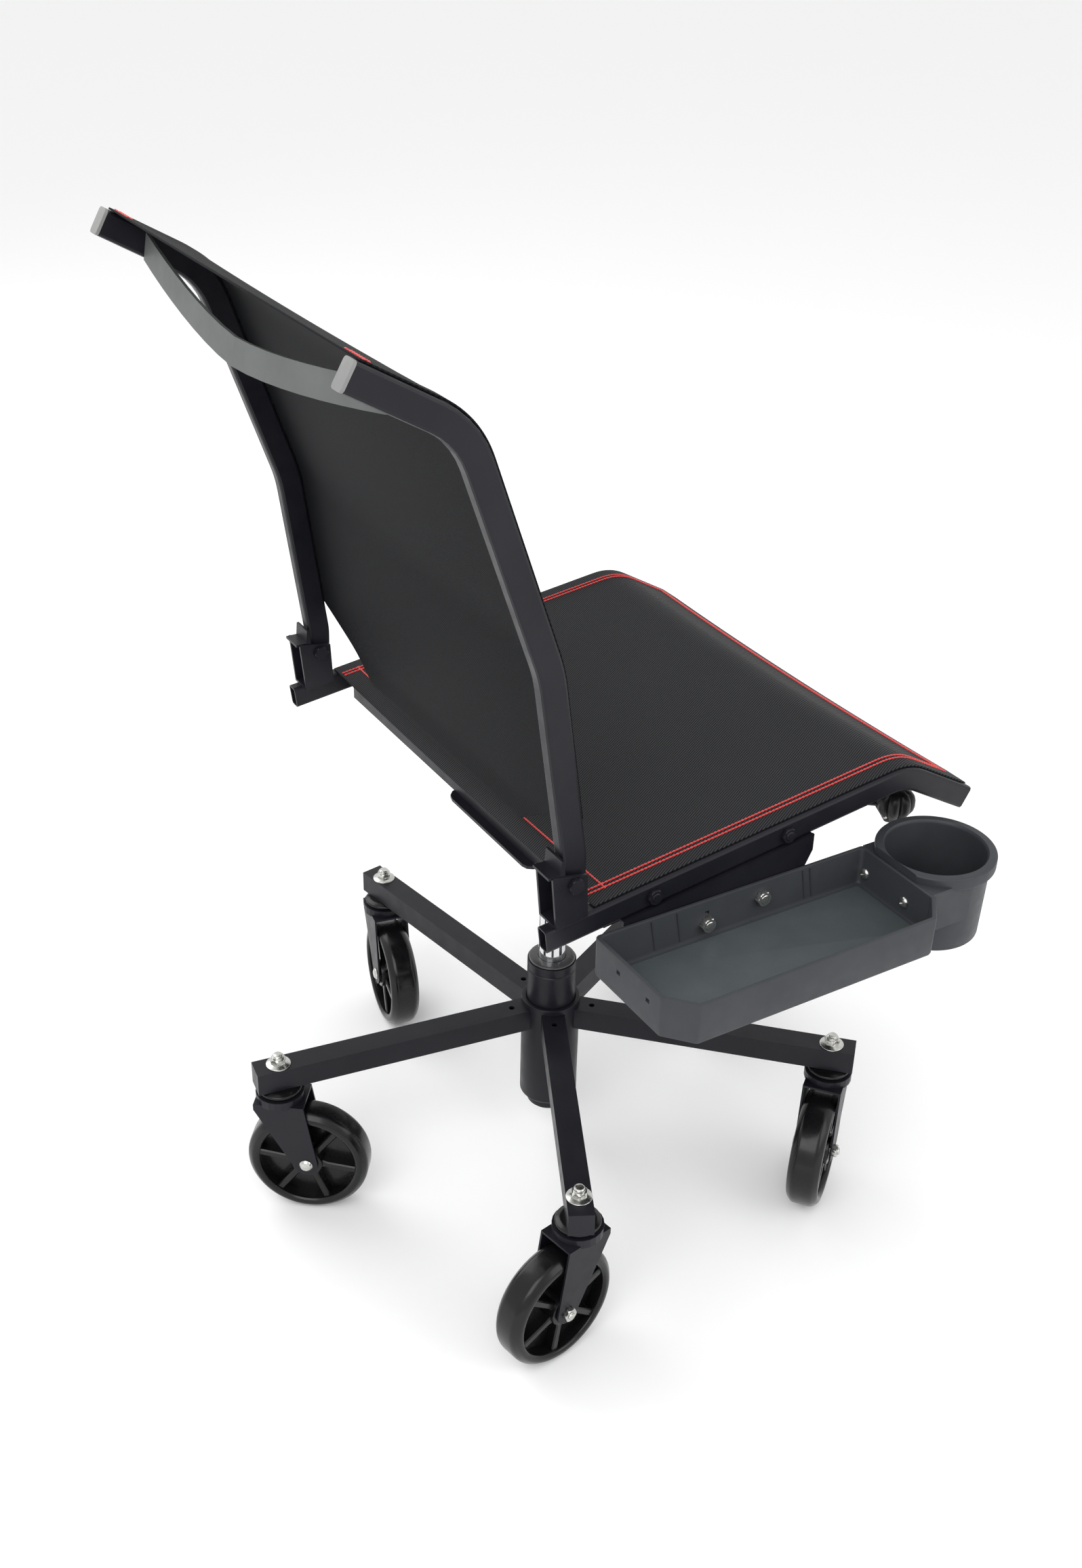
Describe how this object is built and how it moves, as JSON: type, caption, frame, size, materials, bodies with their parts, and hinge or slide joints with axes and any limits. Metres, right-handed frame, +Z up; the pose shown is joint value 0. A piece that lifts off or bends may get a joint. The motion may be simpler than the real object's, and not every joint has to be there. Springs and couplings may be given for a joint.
{
  "type": "rolling mechanic seat",
  "caption": "Rolling mechanic seat with caster base, gas lift, mesh seat and folding mesh back, side tray and cup holder.",
  "frame": {"origin": "middle of the bounding box at floor level", "axes": "+Z up; the sitter faces -Y and has the tray on the right, at -X"},
  "size_m": [0.6944, 0.6208, 0.9547],
  "materials": {
    "black_steel": "satin black powder coat",
    "grey_steel": "satin grey powder coat",
    "zinc": "zinc plated",
    "chrome": "polished",
    "grey_plastic": "matte",
    "slate_plastic": "matte, fine texture",
    "wheel_plastic": "glossy",
    "mesh_fabric": "woven mesh"
  },
  "bodies": {
    "base": {"base_arm_1": "black_steel", "base_arm_2": "black_steel", "base_arm_3": "black_steel", "base_arm_4": "black_steel", "base_arm_5": "black_steel", "caster_stem_1": "zinc", "caster_stem_2": "zinc", "caster_stem_3": "zinc", "caster_stem_4": "zinc", "caster_stem_5": "zinc", "cylinder_bushing": "grey_plastic", "gas_cylinder": "black_steel", "hub_tube": "black_steel"},
    "lift": {"piston_rod": "chrome"},
    "button": {"release_button": "zinc"},
    "lever": {"lift_lever": "black_steel", "lever_grip": "slate_plastic"},
    "back": {"back_tube_left": "black_steel", "back_tube_right": "black_steel", "back_cap_left": "grey_plastic", "back_cap_right": "grey_plastic", "upper_crossbar": "grey_steel", "back_mesh": "mesh_fabric"},
    "caster_1": {"caster_fork_1": "black_steel", "axle_bolt_1": "zinc"},
    "wheel_1": {"wheel_1": "wheel_plastic"},
    "caster_2": {"caster_fork_2": "black_steel", "axle_bolt_2": "zinc"},
    "wheel_2": {"wheel_2": "wheel_plastic"},
    "caster_3": {"caster_fork_3": "black_steel", "axle_bolt_3": "zinc"},
    "wheel_3": {"wheel_3": "wheel_plastic"},
    "caster_4": {"caster_fork_4": "black_steel", "axle_bolt_4": "zinc"},
    "wheel_4": {"wheel_4": "wheel_plastic"},
    "caster_5": {"caster_fork_5": "black_steel", "axle_bolt_5": "zinc"},
    "wheel_5": {"wheel_5": "wheel_plastic"},
    "seat": {"cup_holder": "slate_plastic", "cup_screw_1": "zinc", "cup_screw_2": "zinc", "front_crossbar": "black_steel", "hinge_bolt_left": "black_steel", "hinge_bolt_right": "black_steel", "hinge_bracket_left": "black_steel", "hinge_bracket_right": "black_steel", "lever_pin": "zinc", "lift_plate": "black_steel", "plate_bolt_1": "black_steel", "plate_bolt_2": "black_steel", "rail_bolt_1": "black_steel", "rail_bolt_2": "black_steel", "rear_crossbar": "black_steel", "seat_mesh": "mesh_fabric", "seat_rail_left": "black_steel", "seat_rail_right": "black_steel", "tray": "slate_plastic", "tray_bolt_1": "zinc", "tray_bolt_2": "zinc", "tray_bracket": "black_steel"}
  },
  "joints": [
    {"name": "lift_slide", "type": "slide", "parent": "base", "child": "lift", "axis": [0, 0, 1], "range_m": [-0.13, 0]},
    {"name": "seat_swivel", "type": "hinge", "parent": "lift", "child": "seat", "pos_m": [0.02482, -0.01593, 0], "axis": [0, 0, 1], "continuous": true},
    {"name": "back_fold", "type": "hinge", "parent": "seat", "child": "back", "pos_m": [0.02482, 0.12547, 0.5077], "axis": [1, 0, 0], "range_deg": [0, 88]},
    {"name": "lever_tip", "type": "hinge", "parent": "seat", "child": "lever", "pos_m": [0.00858, -0.03623, 0.4469], "axis": [-0.7809, 0.6247, 0], "range_deg": [0, 4.3], "stiffness_Nm_per_rad": 8},
    {"name": "button_slide", "type": "slide", "parent": "lift", "child": "button", "axis": [0, 0, 1], "range_m": [-0.002, 0]},
    {"name": "caster_swivel_1", "type": "hinge", "parent": "base", "child": "caster_1", "pos_m": [0.31081, 0.03218, 0], "axis": [0, 0, 1], "continuous": true},
    {"name": "wheel_spin_1", "type": "hinge", "parent": "caster_1", "child": "wheel_1", "pos_m": [0.2845, 0.0373, 0.0612], "axis": [-0.1908, -0.9816, 0], "continuous": true},
    {"name": "caster_swivel_2", "type": "hinge", "parent": "base", "child": "caster_2", "pos_m": [0.06744, 0.27092, 0], "axis": [0, 0, 1], "continuous": true},
    {"name": "wheel_spin_2", "type": "hinge", "parent": "caster_2", "child": "wheel_2", "pos_m": [0.05112, 0.24966, 0.0612], "axis": [0.7934, -0.6088, 0], "continuous": true},
    {"name": "caster_swivel_3", "type": "hinge", "parent": "base", "child": "caster_3", "pos_m": [-0.23482, 0.11324, 0], "axis": [0, 0, 1], "continuous": true},
    {"name": "wheel_spin_3", "type": "hinge", "parent": "caster_3", "child": "wheel_3", "pos_m": [-0.2397, 0.13959, 0.0612], "axis": [-0.9833, -0.1822, 0], "continuous": true},
    {"name": "caster_swivel_4", "type": "hinge", "parent": "base", "child": "caster_4", "pos_m": [-0.17826, -0.22295, 0], "axis": [0, 0, 1], "continuous": true},
    {"name": "wheel_spin_4", "type": "hinge", "parent": "caster_4", "child": "wheel_4", "pos_m": [-0.19494, -0.20197, 0.0612], "axis": [-0.7826, -0.6225, 0], "continuous": true},
    {"name": "caster_swivel_5", "type": "hinge", "parent": "base", "child": "caster_5", "pos_m": [0.15896, -0.27304, 0], "axis": [0, 0, 1], "continuous": true},
    {"name": "wheel_spin_5", "type": "hinge", "parent": "caster_5", "child": "wheel_5", "pos_m": [0.13575, -0.25965, 0.0612], "axis": [-0.5, -0.866, 0], "continuous": true}
  ],
  "couplings": [
    {"joint": "button_slide", "follows": "lever_tip", "m_per_rad": -0.026}
  ]
}
